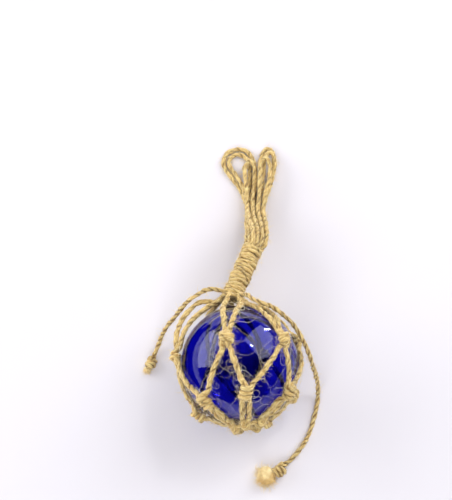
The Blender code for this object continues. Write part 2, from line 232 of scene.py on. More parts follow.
def makeGlass():
    # Blown cobalt glass: clear and glossy, deep blue through the wall and navy at the rim
    f = glassFinish
    material, tree, shader = newMaterial("blownCobaltGlass")
    shader.inputs["Base Color"].default_value = (1, 1, 1, 1)
    shader.inputs["Roughness"].default_value = f["roughness"]
    shader.inputs["IOR"].default_value = f["ior"]
    shader.inputs["Transmission Weight"].default_value = 1.0
    absorb = addNode(tree, "ShaderNodeVolumeAbsorption", {
        "Color": toLinear(f["bodyColour"]), "Density": f["absorption"],
    })
    tree.links.new(absorb.outputs["Volume"], tree.nodes["Material Output"].inputs["Volume"])
    return material


spunJute = makeTwine()
combedFibre = makeFibre("combedJuteFibre")
strayFibrePaintedLit = makeFibre("strayJuteFibrePaintedLit")
cobaltGlass = makeGlass()
print("materials made")


# Twine

twine = {
    "diameter": 3.0,
    "crestHeight": 1.05,  # the crests of the plies stand a little proud
    "lay": 10.6,  # mm along the twine for one whole turn of its two plies
    "sides": 12,  # a multiple of 4, so that both valleys fall on a point
    "stepsPerTurn": 12,
    "valleyDepth": 0.42,  # share of the radius
    "valleyShape": 1.5,  # above 1 the valley is narrower than the plies
    "unevenness": 0.08,
    "wobble": 0.14,  # mm
    "turnWander": 0.75,  # radians that the twist runs ahead or falls behind
    # How much of the valley between the plies is closed by rubbing and loose fibres
    "wear": {"net": 0.75, "whipping": 0.75, "loop": 0.65, "tail": 0.1},
    "wearEverywhere": 0.55,  # share of that wear
    "wearInPatches": 0.6,  # and how much more or less of it comes in patches
    # Over how many mm each unevenness comes and goes
    "waves": {
        "sideways": 19, "upDown": 23, "turn": 27, "firstPly": 9, "secondPly": 7.7, "swell": 31, "wear": 16,
    },
    "pressedGap": 0.02,  # mm that pressed twine stays off the glass
}
twineRadius = twine["diameter"] / 2 * mm * twine["crestHeight"]
ringStep = twine["lay"] / twine["stepsPerTurn"] * mm


def smoothLine(points, step):
    # A Catmull-Rom curve through the points, read at equal distances
    perSpan = 16
    p = np.array([tuple(point) for point in points])
    ends = np.vstack([2 * p[0] - p[1], p, 2 * p[-1] - p[-2]])
    t = np.linspace(0, 1, perSpan, endpoint=False)[:, None]
    spans = [
        0.5 * (
            2 * b + (c - a) * t + (2 * a - 5 * b + 4 * c - d) * t ** 2
            + (3 * b - a - 3 * c + d) * t ** 3
        )
        for a, b, c, d in zip(ends, ends[1:], ends[2:], ends[3:])
    ]
    fine = np.vstack([*spans, p[-1:]])
    walked = distances(fine)
    count = max(2, round(walked[-1] / step))
    wanted = np.linspace(0, walked[-1], count + 1)
    return np.column_stack([np.interp(wanted, walked, fine[:, axis]) for axis in range(3)])


def distances(line):
    return np.concatenate([[0], np.cumsum(np.linalg.norm(np.diff(line, axis=0), axis=1))])


def wander(walked, wave, rng):
    # A smooth value that wanders between about -1 and 1, by waves of three lengths
    total = np.zeros(len(walked))
    for stretch in (1.0, 0.63, 0.39):
        waveLength = twine["waves"][wave] * mm * stretch
        total += np.sin(2 * math.pi * walked / waveLength + rng.uniform(0, 2 * math.pi))
    return total / 2


def framesAlong(line):
    # Directions along the line, and two directions across it that don't spin
    ahead = np.gradient(line, axis=0)
    ahead /= np.linalg.norm(ahead, axis=1)[:, None]
    across = np.zeros_like(ahead)
    start = np.cross(ahead[0], (0.31, 0.17, 0.93))  # any direction that no line starts along
    across[0] = start / np.linalg.norm(start)
    for i in range(1, len(line)):
        kept = across[i - 1] - ahead[i] * np.dot(across[i - 1], ahead[i])
        across[i] = kept / np.linalg.norm(kept)
    return ahead, across, np.cross(ahead, across)


def keepClear(points, gap):
    # Twine and fibres flatten where they meet the glass or the table. The gap to the glass is in mm.
    centre = np.array(ballCentre)
    away = points - centre
    reach = np.linalg.norm(away, axis=-1, keepdims=True)
    least = ballRadius + gap * mm
    points = np.where(reach < least, centre + away * least / np.maximum(reach, 1e-9), points)
    points[..., 2] = np.maximum(points[..., 2], 0)
    return points


def plyTube(line, rng, share=1.0, wear=0.0):
    # Two plies twisted together, as one tube whose section turns along the line. Worn twine is
    # rubbed and hairy, so that the valley between its plies closes here and there.
    sides = twine["sides"]
    walked = distances(line)
    ahead, across, other = framesAlong(line)
    sway = twine["wobble"] * mm
    line = line + across * (wander(walked, "sideways", rng) * sway)[:, None]
    line = line + other * (wander(walked, "upDown", rng) * sway)[:, None]
    turn = 2 * math.pi * walked / (twine["lay"] * mm) + rng.uniform(0, 2 * math.pi)
    turn = turn + twine["turnWander"] * wander(walked, "turn", rng)
    angle = turn[:, None] + 2 * math.pi * np.arange(sides) / sides
    crest = np.abs(np.sin(2 * math.pi * np.arange(sides) / sides))
    firstPly = np.where(np.arange(sides) < sides / 2, 1, 0)
    bulge = firstPly * wander(walked, "firstPly", rng)[:, None]
    bulge = bulge + (1 - firstPly) * wander(walked, "secondPly", rng)[:, None]
    swell = wander(walked, "swell", rng)[:, None]
    closed = wear * (twine["wearEverywhere"] + twine["wearInPatches"] * wander(walked, "wear", rng))
    opening = 1 - np.clip(closed, 0, 1)[:, None]
    profile = 1 - twine["valleyDepth"] * opening * (1 - crest) ** twine["valleyShape"]
    radius = twineRadius * share * profile * (1 + twine["unevenness"] * (bulge + swell))
    points = (
        line[:, None, :] + across[:, None, :] * (radius * np.cos(angle))[..., None]
        + other[:, None, :] * (radius * np.sin(angle))[..., None]
    )
    # Painted shade: how much dark brown is painted where the valley between the plies is open
    valley = opening * (1 - crest)
    # The map runs along the twine and round it. Each cord reads its own stretch of the pattern.
    v = walked + rng.uniform(0, 3)
    u = angle * twineRadius
    return keepClear(points, twine["pressedGap"]), valley, u, v


def meshFromTubes(name, tubes):
    # Rings of points joined into closed tubes, with a map in metres and a painted shade value between the
    # plies at each point
    points, faces, maps, valleys = [], [], [], []
    base = 0
    for ring, valley, u, v in tubes:
        rings, sides = valley.shape
        points.append(ring.reshape(-1, 3))
        valleys.append(valley.reshape(-1))
        i, j = np.meshgrid(np.arange(rings - 1), np.arange(sides), indexing="ij")
        k = (j + 1) % sides
        quad = np.stack([i * sides + j, i * sides + k, (i + 1) * sides + k, (i + 1) * sides + j], axis=-1)
        faces += (quad.reshape(-1, 4) + base).tolist()
        nextU = u[i, j] + 2 * math.pi * twineRadius / sides
        nextRowU = u[i + 1, j] + 2 * math.pi * twineRadius / sides
        corner = np.stack([
            np.stack([u[i, j], v[i]], -1), np.stack([nextU, v[i]], -1),
            np.stack([nextRowU, v[i + 1]], -1), np.stack([u[i + 1, j], v[i + 1]], -1),
        ], axis=2)
        maps.append(corner.reshape(-1, 2))
        for row, order in ((0, range(sides - 1, -1, -1)), (rings - 1, range(sides))):
            faces.append([base + row * sides + side for side in order])
            maps.append(np.array([(u[row, side], v[row]) for side in order]))
        base += rings * sides
    mesh = bpy.data.meshes.new(name)
    mesh.from_pydata(np.vstack(points).tolist(), [], faces)
    layer = mesh.uv_layers.new(name="UVMap")
    layer.data.foreach_set("uv", np.vstack(maps).reshape(-1))
    attribute = mesh.attributes.new("valley", "FLOAT", "POINT")
    attribute.data.foreach_set("value", np.concatenate(valleys))
    mesh.update()
    mesh.shade_smooth()
    return addObject(name, mesh)


# Cords: the hanging loops and the two tails. Their routes are the part's own.

neckBase = Vector((-4.6, 45.0, 38.8))
neckAim = Vector((13.7, 34.2, -8.3)).normalized()
whipping = {
    "diameter": 13.6,
    "turn": 2.9,  # mm along the neck for each turn
    "turns": 13,
    "footTurns": 1.6,  # loose turns below the wound ones
    "twineShare": 0.93,  # pulled tight, the twine is thinner
    "ease": 0.1,  # mm that the turns stand off the wound width
    "endGap": 0.5,
    "loopGap": 1.1,  # mm from the last turn to where the loops come out
    "pointsPerTurn": 14,
    # How far the turns stray, in mm: aslant, along the neck, and away from it
    "slant": 0.35,
    "stray": 0.25,
    "slowBulge": 0.25,
    "quickBulge": 0.15,
    "footSlant": 1.2,  # the loose turns stray further
    "footBulge": 0.8,
}
whippingLength = whipping["turn"] * whipping["turns"]
neckTop = neckBase + neckAim * whippingLength

loops = {
    # The legs of the loops leave the whipping side by side, four across and three high
    "bundle": [
        (10.9, 84.0, 29.2), (11.6, 89.5, 25.2), (11.4, 96.8, 17.6), (10.8, 104.9, 9.6), (10.9, 113.0, 5.5),
    ],
    "middleSlot": (1.5, 1),
    "spacing": 3.6,
    "twist": -40,  # degrees that the bundle has turned where it leaves the whipping
    "hidden": 8.0,  # mm of each leg inside the whipping
    "squeeze": 0.72,  # how much closer the legs lie in there
    # Column and row of the loop's first leg, and its way round from the end of the bundle
    "routes": {
        "loop_1": (0, 0, [
            (4.6, 118.5, 1.75), (1.0, 127.0, 1.65), (-4.1, 134.5, 1.65), (-8.9, 141.0, 1.65),
            (-10.6, 147.5, 1.65), (-7.8, 153.5, 1.65), (-1.3, 156.5, 1.65), (5.6, 154.6, 1.65),
            (9.8, 148.0, 1.65), (11.0, 138.0, 1.65), (10.5, 127.0, 1.65), (9.6, 119.0, 1.75),
        ]),
        "loop_2": (0, 1, [
            (4.8, 119.5, 5.4), (3.2, 126.5, 5.3), (0.3, 133.0, 3.9), (-3.0, 138.5, 2.2),
            (-5.4, 142.6, 1.7), (-6.9, 147.2, 1.65), (-5.0, 150.9, 1.65), (-1.0, 152.6, 1.65),
            (3.4, 151.4, 1.65), (6.3, 146.8, 1.65), (7.4, 138.4, 1.65), (7.0, 129.5, 2.4),
            (6.9, 122.0, 4.4),
        ]),
        "loop_3": (0, 2, [
            (5.1, 120.5, 8.8), (4.7, 128.0, 8.3), (4.1, 135.5, 6.0), (4.0, 142.0, 5.2),
            (7.2, 147.0, 5.2), (10.4, 142.5, 5.2), (10.6, 134.5, 5.2), (10.0, 127.0, 6.0),
            (9.2, 120.5, 8.2),
        ]),
        "loop_4": (2, 0, [
            (13.6, 122.0, 1.75), (14.4, 130.0, 1.65), (14.8, 140.0, 1.65), (15.2, 149.5, 1.65),
            (18.6, 156.4, 1.65), (22.8, 155.2, 1.65), (24.2, 149.0, 1.65), (22.9, 140.0, 1.65),
            (20.2, 129.5, 1.65), (17.8, 120.5, 1.75),
        ]),
        "loop_5": (2, 1, [
            (13.9, 122.0, 5.4), (15.6, 130.0, 5.4), (16.9, 139.0, 5.4), (17.3, 146.5, 5.4),
            (20.0, 152.4, 5.4), (23.4, 151.0, 5.4), (24.4, 144.0, 5.4), (23.2, 136.5, 5.4),
            (20.6, 127.5, 5.4), (18.0, 119.8, 5.4),
        ]),
        "loop_6": (2, 2, [
            (13.6, 121.0, 9.2), (14.0, 130.0, 9.2), (14.2, 138.0, 9.2), (14.8, 144.0, 9.2),
            (17.9, 147.6, 9.2), (20.8, 143.6, 9.1), (20.9, 136.0, 9.0), (19.6, 128.0, 9.1),
            (17.4, 120.4, 9.2),
        ]),
    },
}
tails = {
    # Where a tail starts and comes out: mm up the neck, and mm out from the neck's middle
    "start": (7, 3.6),
    "wayOut": (0.5, 5.0),
    "routes": {
        "tail_right": [
            (3.2, 46.2, 45.6), (4.6, 42.6, 51.0), (8.2, 38.6, 55.6), (13.7, 35.6, 58.1),
            (21.9, 32.5, 55.8), (30.0, 26.1, 54.5), (35.7, 19.6, 52.0), (39.8, 13.2, 48.5),
            (43.2, 7.0, 42.6), (46.2, 0.9, 33.6), (48.9, -4.2, 22.4), (51.0, -9.3, 10.6),
            (51.2, -15.6, 3.2), (50.5, -22.0, 1.6), (48.9, -28.6, 1.6), (46.4, -36.4, 1.6),
            (42.8, -44.1, 1.6), (38.0, -50.9, 1.6), (33.3, -55.8, 1.6), (29.9, -58.6, 1.7),
        ],
        "tail_left": [
            (-12.6, 46.8, 42.6), (-17.2, 47.9, 43.2), (-22.6, 47.2, 42.4), (-31.1, 42.9, 38.4),
            (-36.7, 38.8, 33.0), (-42.3, 33.6, 25.0), (-48.5, 28.0, 15.5), (-52.1, 22.3, 8.0),
            (-54.5, 17.2, 3.6), (-56.7, 11.7, 2.3),
        ],
    },
}


def bundleLeg(column, row):
    # One leg of a loop, from inside the whipping to the end of the bundle
    centre = [neckTop + neckAim * whipping["loopGap"]] + [Vector(p) for p in loops["bundle"]]
    middleColumn, middleRow = loops["middleSlot"]
    leg = []
    for i, place in enumerate(centre):
        if i == 0:
            run = neckAim
        elif i == len(centre) - 1:
            run = Vector((0, 1, 0))
        else:
            run = (centre[i + 1] - centre[i - 1]).normalized()
        side = run.cross(up).normalized()
        twist = Matrix.Rotation(math.radians(loops["twist"]) * (1 - i / (len(centre) - 1)), 2)
        slot = twist @ Vector((column - middleColumn, row - middleRow)) * loops["spacing"]
        offset = side * slot.x + side.cross(run) * slot.y
        if i == 0:
            leg.append(place - neckAim * loops["hidden"] + offset * loops["squeeze"])
            offset = offset * (1 + loops["squeeze"]) / 2
        leg.append(place + offset)
    return leg


# Tail ends: an overhand knot and the fibres frayed out of it

tailKnot = {
    "twineShare": 1.25,  # its twine has come loose, so it is thicker
    "gap": 0.3,  # mm from the end of the tail to the knot
    "ends": (0.2, -0.4),  # mm above the knot's middle where the twine comes in and goes out
    "wayIn": [(0, 0, 0.2), (0.4, 0.45, 0.3)],  # mm across, share of the knot's length, mm up
    "wayOut": [(0.6, -0.1, 0.5), (0.3, 0.4, 0.1)],
    "turns": 2,
    "stepsPerTurn": 8,
    "startAngle": 0.4,
    "span": 0.8,  # share of the knot's length that the turns cover
    "flatness": 0.95,
}
brush = {
    "overlap": 2.6,  # mm that the tuft reaches back into the knot
    "lift": 0.1,
    "foldWidth": 0.55,  # both are shares of the tuft's half width
    "foldHeight": 0.6,
    "rootDepth": 0.93,
    "outward": 0.9,
    "forward": 1.3,
    "curl": 0.3,
    "points": 7,
    "gap": 0.1,
    "thickness": (0.18, 0.36),  # coarser than real ones, so that they show
}
# Sizes and lean of a knot in mm, then the half sizes of its tuft and the fibres on that
tailEnds = {
    "tail_right_knot": {
        "tail": "tail_right", "length": 11.0, "wide": 2.6, "deep": 2.2, "lean": 1.9,
        "brush": (5.6, 5.9, 3.6), "fibres": 420, "fibreLengths": (3.0, 7.5),
    },
    "tail_left_knot": {
        "tail": "tail_left", "length": 8.8, "wide": 2.0, "deep": 1.7, "lean": 0.5,
        "brush": (2.3, 2.6, 1.8), "fibres": 130, "fibreLengths": (1.5, 3.5),
    },
}


fibreShape = {
    "tip": 0.35,  # thickness at the tip, against the root
    "keptBend": 0.75,  # share of its bend that a fibre keeps from step to step
    "freshBend": 0.6,
}


def fibreMesh(name, paths, thickness, material):
    # Each fibre is a three-sided tube that thins towards its tip. paths is fibres by points by 3.
    fibres, count = paths.shape[:2]
    ahead = np.gradient(paths, axis=1)
    ahead /= np.linalg.norm(ahead, axis=2, keepdims=True)
    across = np.cross(ahead, (0.36, 0.48, 0.8))  # any direction that hardly a fibre runs along
    across /= np.linalg.norm(across, axis=2, keepdims=True)
    other = np.cross(ahead, across)
    taper = np.linspace(1, fibreShape["tip"], count)[None, :, None]
    half = np.asarray(thickness).reshape(-1, 1, 1) / 2 * taper
    rings = [
        paths + (across * math.cos(angle) + other * math.sin(angle)) * half
        for angle in (0, 2 * math.pi / 3, 4 * math.pi / 3)
    ]
    points = np.stack(rings, axis=2).reshape(-1, 3)
    points[:, 2] = np.maximum(points[:, 2], 0)
    start = (np.arange(fibres) * count * 3)[:, None, None]
    i = np.arange(count - 1)[None, :, None] * 3
    j = np.arange(3)[None, None, :]
    k = (j + 1) % 3
    quads = np.stack([start + i + j, start + i + k, start + i + 3 + k, start + i + 3 + j], axis=-1)
    first = start[:, 0, 0]
    last = first + (count - 1) * 3
    faces = quads.reshape(-1, 4).tolist()
    faces += [[a + 2, a + 1, a] for a in first.tolist()]
    faces += [[a, a + 1, a + 2] for a in last.tolist()]
    mesh = bpy.data.meshes.new(name)
    mesh.from_pydata(points.tolist(), [], faces)
    mesh.update()
    mesh.shade_smooth()
    return settle(addObject(name, mesh), material)


def growFibres(roots, aims, lengths, curl, count, rng, gap):
    # Fibres that start at roots, head for aims and bend at random, clear of glass and table
    paths = np.zeros((len(roots), count, 3))
    paths[:, 0] = roots
    heading = aims / np.linalg.norm(aims, axis=1, keepdims=True)
    spin = rng.normal(size=(len(roots), 3))
    for i in range(1, count):
        spin = spin * fibreShape["keptBend"] + rng.normal(size=spin.shape) * fibreShape["freshBend"]
        heading = heading + np.cross(spin, heading) * curl
        heading /= np.linalg.norm(heading, axis=1, keepdims=True)
        step = (lengths / (count - 1))[:, None]
        paths[:, i] = keepClear(paths[:, i - 1] + heading * step, gap)
    return paths


def makeTailEnd(name, end):
    k = tailKnot
    rng = random.Random(len(name))
    route = [Vector(p) for p in tails["routes"][end["tail"]]]
    run = route[-1] - route[-2]
    run.z = 0
    run.normalize()
    height = end["deep"] + twine["diameter"] / 2
    centre = onTable(route[-1] + run * (end["length"] / 2 + k["gap"]))
    centre.z = height * mm
    side = run.cross(up)
    turn = Matrix((side, run, up)).transposed().to_4x4()
    place = Matrix.Translation(centre) @ turn
    tall = end["length"] - twine["diameter"]
    # In along the middle, back over itself in two turns, and out through the middle
    local = [(0, -end["length"] / 2, k["ends"][0])]
    local += [(x, tall * share, z) for x, share, z in k["wayIn"]]
    steps = k["turns"] * k["stepsPerTurn"]
    for i in range(steps + 1):
        angle = 2 * math.pi * k["turns"] * i / steps + k["startAngle"]
        x = end["wide"] * math.cos(angle) - end["lean"] / 2
        z = end["deep"] * math.sin(angle) * k["flatness"]
        local.append((x, tall * k["span"] * (0.5 - i / steps), z))
    local += [(x, tall * share, z) for x, share, z in k["wayOut"]]
    local.append((0, end["length"] / 2, k["ends"][1]))
    line = smoothLine([place @ (Vector(p) * mm) for p in local], ringStep)
    knot = meshFromTubes(name + "_twine", [plyTube(line, rng, k["twineShare"])])
    settle(knot, spunJute, name)
    return [knot, *makeBrush(name, end, place, height)]


def makeBrush(name, end, place, height):
    # The frayed end: a soft round tuft, and the fibres that stand out of it
    b = brush
    wide, long, tall = end["brush"]
    ahead = end["length"] / 2 + long - b["overlap"]
    middle = place @ (Vector((end["lean"], ahead, tall + b["lift"] - height)) * mm)
    deselectAll()
    bpy.ops.mesh.primitive_ico_sphere_add(subdivisions=4, radius=1)
    tuft = bpy.context.object
    tuft.name = tuft.data.name = name + "_core"
    size = Matrix.Diagonal((wide * mm, long * mm, tall * mm, 1))
    tuft.matrix_world = Matrix.Translation(middle) @ place.to_3x3().to_4x4() @ size
    bpy.ops.object.transform_apply(location=True, rotation=True, scale=True)
    folds = bpy.data.textures.new(name + "_folds", "CLOUDS")
    folds.noise_scale = wide * b["foldWidth"] * mm
    ruffle = tuft.modifiers.new("ruffle", "DISPLACE")
    ruffle.texture = folds
    ruffle.texture_coords = "LOCAL"
    ruffle.strength = wide * b["foldHeight"] * mm
    bpy.ops.object.modifier_apply(modifier="ruffle")
    for vertex in tuft.data.vertices:
        vertex.co.z = max(vertex.co.z, 0)
    bpy.ops.object.shade_smooth()
    settle(tuft, combedFibre)
    draw = np.random.RandomState(seeds["tuft"] + len(name))
    spread = draw.normal(size=(end["fibres"], 3))
    spread /= np.linalg.norm(spread, axis=1, keepdims=True)
    axes = np.array(place.to_3x3().transposed())
    roots = np.array(middle) + (spread * np.array(end["brush"]) * b["rootDepth"] * mm) @ axes
    aims = (spread * b["outward"] + np.array((0, b["forward"], 0))) @ axes
    lengths = draw.uniform(*end["fibreLengths"], end["fibres"]) * mm
    paths = growFibres(roots, aims, lengths, b["curl"], b["points"], draw, b["gap"])
    thickness = draw.uniform(*b["thickness"], end["fibres"]) * mm
    return [tuft, fibreMesh(name + "_tuft", paths, thickness, combedFibre)]


def makeCord(name, line, rng):
    wear = twine["wear"][name.split("_")[0]]
    cord = meshFromTubes(name + "_twine", [plyTube(line, rng, 1.0, wear)])
    settle(cord, spunJute, name)


def makeLoops():
    lines = {}
    for number, (name, (column, row, outline)) in enumerate(loops["routes"].items()):
        route = bundleLeg(column, row) + [Vector(p) for p in outline] + bundleLeg(column + 1, row)[::-1]
        line = smoothLine([onTable(p) for p in route], ringStep)
        makeCord(name, line, random.Random(seeds["loop"] + number))
        lines[name] = line
    return lines


def makeTails():
    # Each tail comes out from under the lowest turn of the whipping, in place of its route's first point
    lines = {}
    for number, (name, route) in enumerate(tails["routes"].items()):
        out = Vector(route[0]) - neckBase
        out = (out - neckAim * out.dot(neckAim)).normalized()
        hidden = [
            neckBase + neckAim * along + out * away for along, away in (tails["start"], tails["wayOut"])
        ]
        line = smoothLine([onTable(p) for p in [*hidden, *map(Vector, route[1:])]], ringStep)
        pieces = makeTailEnd(name + "_knot", tailEnds[name + "_knot"])
        makeCord(name, line, random.Random(seeds["tail"] + number))
        lines[name] = line
    return lines


cordLines = {**makeLoops(), **makeTails()}
print("cords made")


# The net

net = {
    "yaw": 9.8,
    "topKnots": [(15, -10), (9, 45), (14, 100), (14, 151), (14, 209), (16, 274)],
    "middleKnots": [(-34, -1), (-38, 54), (-34, 117), (-32, 180), (-40, 258), (-34, 310)],
    "lumpLatitude": -75,
    "lumpLongitudes": [-20, 32, 92, 160, 232, 292],
    "neckLatitude": 68,
    # The two strands above each top knot: longitude at the neck, and how far it bows out from the glass
    "upperStrands": [
        ((-18, 0), (35, 0)), ((37, 0), (90, 0)), ((92, 0), (145, 0)),
        ((143, 0), (196, 0)), ((201, 0), (254, 0)), ((262, 9.5), (280, 3)),
    ],
    "slackAtNeck": 0.4,
    "neckRadius": 4.6,
    "neckShare": 0.42,  # how far towards the shoulder a strand first touches the ball
    "neckClearance": 0.6,
    "neckInside": [(12.0, 1.0), (1.5, 0.2)],  # mm up the neck, and mm in towards its middle
    "pointSpacing": 6,  # mm between the points of a strand on the ball
    "pairSpacing": 4.0,
    "lift": 1.42,  # mm from the glass to the middle of a strand
    "knotLift": 3.6,
    "knotWide": 2.75,
    "knotDeep": 2.1,
    "knotTall": (5.0, 7.6),  # top row, middle row
    "knotTurns": (2, 2.5),
    "knotShare": [1.25, 1.0, 1.05, 0.95, 1.0, 1.1, 1.0, 1.1, 1.0, 0.9, 1.0, 0.95],  # width of each knot
    "knotReach": (6.0, 7.0),  # mm from a knot's middle to where its strands straighten
    "topTilt": 16,  # degrees at most, by chance
    "middleTilt": 18,  # degrees, to and fro
    "stepsPerTurn": 8,
    # The strand that a knot is wound round: shares of its own height, then mm
    "throughHeights": (0.42, 0.0, -0.42),
    "throughTall": 1.25,
    "throughDepth": -0.3,
    "throughLean": 1.5,
    "lumpWide": 2.0,
    "lumpDeep": 1.9,
    "lumpTall": 3.4,
    "lumpTurns": 1.5,
    "lumpLift": 3.3,
    "lumpReach": 5.0,
    "lumpThrough": [(-0.6, 1.6, -0.5), (0.4, -0.6, -0.5), (0.2, -2.2, -0.5)],
    "ringLift": 3.0,
    "ringStep": 15,  # degrees
    # Of the strands that come down to each top knot, against plain twine
    "thickness": [1.18, 1.1, 1.1, 1.1, 1.1, 1.12],
}
yaw = math.radians(net["yaw"])
netAxis = Vector((-math.sin(yaw), math.cos(yaw), 0))
netSide = Vector((math.cos(yaw), math.sin(yaw), 0))
strandRadius = ballRadius + net["lift"] * mm


def direction(latitude, longitude):
    lat, lon = math.radians(latitude), math.radians(longitude)
    around = netSide * math.sin(lon) + up * math.cos(lon)
    return around * math.cos(lat) + netAxis * math.sin(lat)


def facing(latitude, longitude, lift):
    # X to the right along the net, Y up the net, Z away from the ball
    outward = direction(latitude, longitude)
    right = netAxis.cross(outward).normalized()
    turn = Matrix((right, outward.cross(right), outward)).transposed().to_4x4()
    return Matrix.Translation(ballCentre + outward * (ballRadius + lift * mm)) @ turn


def arcBetween(start, end, leaveStart, leaveEnd, sideStep=0.0, slack=0.0):
    # A strand over the ball, without its first and last few millimetres. Slack lifts its start.
    a, b = direction(*start), direction(*end)
    length = a.angle(b) * strandRadius
    first, last = leaveStart * mm / length, 1 - leaveEnd * mm / length
    count = max(2, round((last - first) * length / (net["pointSpacing"] * mm)))
    across = a.cross(b).normalized()
    points = []
    for i in range(count + 1):
        share = first + (last - first) * i / count
        outward = (a.slerp(b, share) * strandRadius + across * sideStep * mm).normalized()
        points.append(ballCentre + outward * (strandRadius + slack * mm * (1 - share ** 2)))
    return points


def knotTurns(place, wide, deep, tall, turns, mirrored):
    # The strand that is wound round the other one, from the top of the knot to its foot
    points = []
    count = round(turns * net["stepsPerTurn"])
    for i in range(count + 1):
        angle = 2 * math.pi * turns * i / count
        x = wide * math.cos(angle) * (-1 if mirrored else 1)
        points.append(place @ (Vector((x, tall * (0.5 - i / count), deep * math.sin(angle))) * mm))
    return points


def straightThrough(place, tall, lean):
    # The other strand, nearly straight through the middle of the turns
    depth = net["throughDepth"]
    return [place @ (Vector((lean * h, tall * h, depth)) * mm) for h in net["throughHeights"]]


def throughKnot(place, row, number, wound, fromRight):
    tall, share = net["knotTall"][row], net["knotShare"][number]
    if wound:
        return knotTurns(
            place, net["knotWide"] * share, net["knotDeep"], tall, net["knotTurns"][row], not fromRight,
        )
    lean = net["throughLean"] * (1 if fromRight else -1)
    return straightThrough(place, tall * net["throughTall"], lean)


def neckEnd(longitude, slack):
    # From inside the whipping towards the shoulder of the ball
    side = neckAim.cross(up).normalized()
    angle = math.radians(longitude)
    out = side * math.sin(angle) + side.cross(neckAim) * math.cos(angle)
    end = neckBase + out * net["neckRadius"]
    shoulder = ballCentre + direction(net["neckLatitude"], longitude) * strandRadius
    lift = onTable(end).lerp(shoulder, net["neckShare"]) - ballCentre
    least = strandRadius + (net["neckClearance"] + slack * net["slackAtNeck"]) * mm
    near = ballCentre + lift.normalized() * max(lift.length, least)
    inside = [end + neckAim * along - out * inward for along, inward in net["neckInside"]]
    return [onTable(p) for p in inside] + [near]


def strandRoute(knot, side, rng):
    # One strand from the neck through a top knot and a middle knot to the ring under the ball
    top = net["topKnots"][knot]
    middleIndex = (knot - 1 + side) % len(net["middleKnots"])
    middle = net["middleKnots"][middleIndex]
    neckLongitude, slack = net["upperStrands"][knot][side]
    shoulder = (net["neckLatitude"], neckLongitude)
    lump = (net["lumpLatitude"], net["lumpLongitudes"][middleIndex])
    reach, lowReach = net["knotReach"]
    topTilt = math.radians(rng.uniform(-net["topTilt"], net["topTilt"]))
    middleTilt = math.radians(net["middleTilt"] * (1 if middleIndex % 2 else -1))
    topPlace = facing(*top, net["knotLift"]) @ Matrix.Rotation(topTilt, 4, "Z")
    middlePlace = facing(*middle, net["knotLift"]) @ Matrix.Rotation(middleTilt, 4, "Z")
    comesFromLeft = side == 1
    besides = (-1 if comesFromLeft else 1) * net["pairSpacing"] / 2
    woundAtTop = (knot + side) % 2 == 0
    woundAtMiddle = (middleIndex + side) % 2 == 0
    route = neckEnd(neckLongitude, slack)
    route += arcBetween(shoulder, top, 0, reach, 0, slack)
    route += throughKnot(topPlace, 0, knot, woundAtTop, side == 1)
    route += arcBetween(top, middle, reach, lowReach)
    route += throughKnot(middlePlace, 1, len(net["topKnots"]) + middleIndex, woundAtMiddle, side == 0)
    route += arcBetween(middle, lump, lowReach, net["lumpReach"], besides)
    lumpPlace = facing(*lump, net["lumpLift"])
    if side == 0:
        route += knotTurns(
            lumpPlace, net["lumpWide"], net["lumpDeep"], net["lumpTall"], net["lumpTurns"], False,
        )
    else:
        route += [lumpPlace @ (Vector(point) * mm) for point in net["lumpThrough"]]
    return route


def makeNet():
    tubes, lines = [], []
    for knot in range(len(net["topKnots"])):
        for side in (0, 1):
            rng = random.Random(seeds["net"] + 10 * knot + side)
            line = smoothLine(strandRoute(knot, side, rng), ringStep)
            lines.append(line)
            tubes.append(plyTube(line, rng, net["thickness"][knot], twine["wear"]["net"]))
    # The ring that the pairs are tied to
    lat = net["lumpLatitude"]
    start = net["lumpLongitudes"][0]
    ringRadius = ballRadius + net["ringLift"] * mm
    ring = [
        ballCentre + direction(lat, lon) * ringRadius for lon in range(start, start + 361, net["ringStep"])
    ]
    line = smoothLine(ring, ringStep)
    lines.append(line)
    tubes.append(plyTube(line, random.Random(seeds["ring"]), 1.0, twine["wear"]["net"]))
    settle(meshFromTubes("netting", tubes), spunJute, "net")
    return lines


netLines = makeNet()
print("net made")


# The whipping round the neck

def makeWhipping():
    # Side by side turns of the same twine, none of them quite level
    w = whipping
    rng = random.Random(seeds["whipping"])
    radius = w["diameter"] / 2 - twine["diameter"] / 2 + w["ease"]
    side = neckAim.cross(up).normalized()
    top = side.cross(neckAim)
    perTurn = w["pointsPerTurn"]
    points = []
    for i in range(round(-w["footTurns"] * perTurn), w["turns"] * perTurn + 1):
        turn = i / perTurn
        angle = 2 * math.pi * turn
        foot = min(turn, 0) / w["footTurns"]
        along = w["endGap"] + (turn / w["turns"]) * (whippingLength - 2 * w["endGap"])
        along += w["slant"] * math.sin(angle + 1.1) + w["stray"] * math.sin(turn * 2.3)
        along -= foot * w["footSlant"] * math.sin(angle)
        reach = radius + w["slowBulge"] * math.sin(turn * 1.7 + 0.6)
        reach += w["quickBulge"] * math.sin(turn * 4.1) - foot * w["footBulge"]
        out = side * math.sin(angle) + top * math.cos(angle)
        points.append(onTable(neckBase + neckAim * along + out * reach))
    line = smoothLine(points, ringStep)
    tube = plyTube(line, rng, w["twineShare"], twine["wear"]["whipping"])
    settle(meshFromTubes("whipping_turns", [tube]), spunJute, "whipping")
    return line


whippingLine = makeWhipping()
print("whipping made")


# Loose fibres on the twine, and a few long ones that lie over the glass

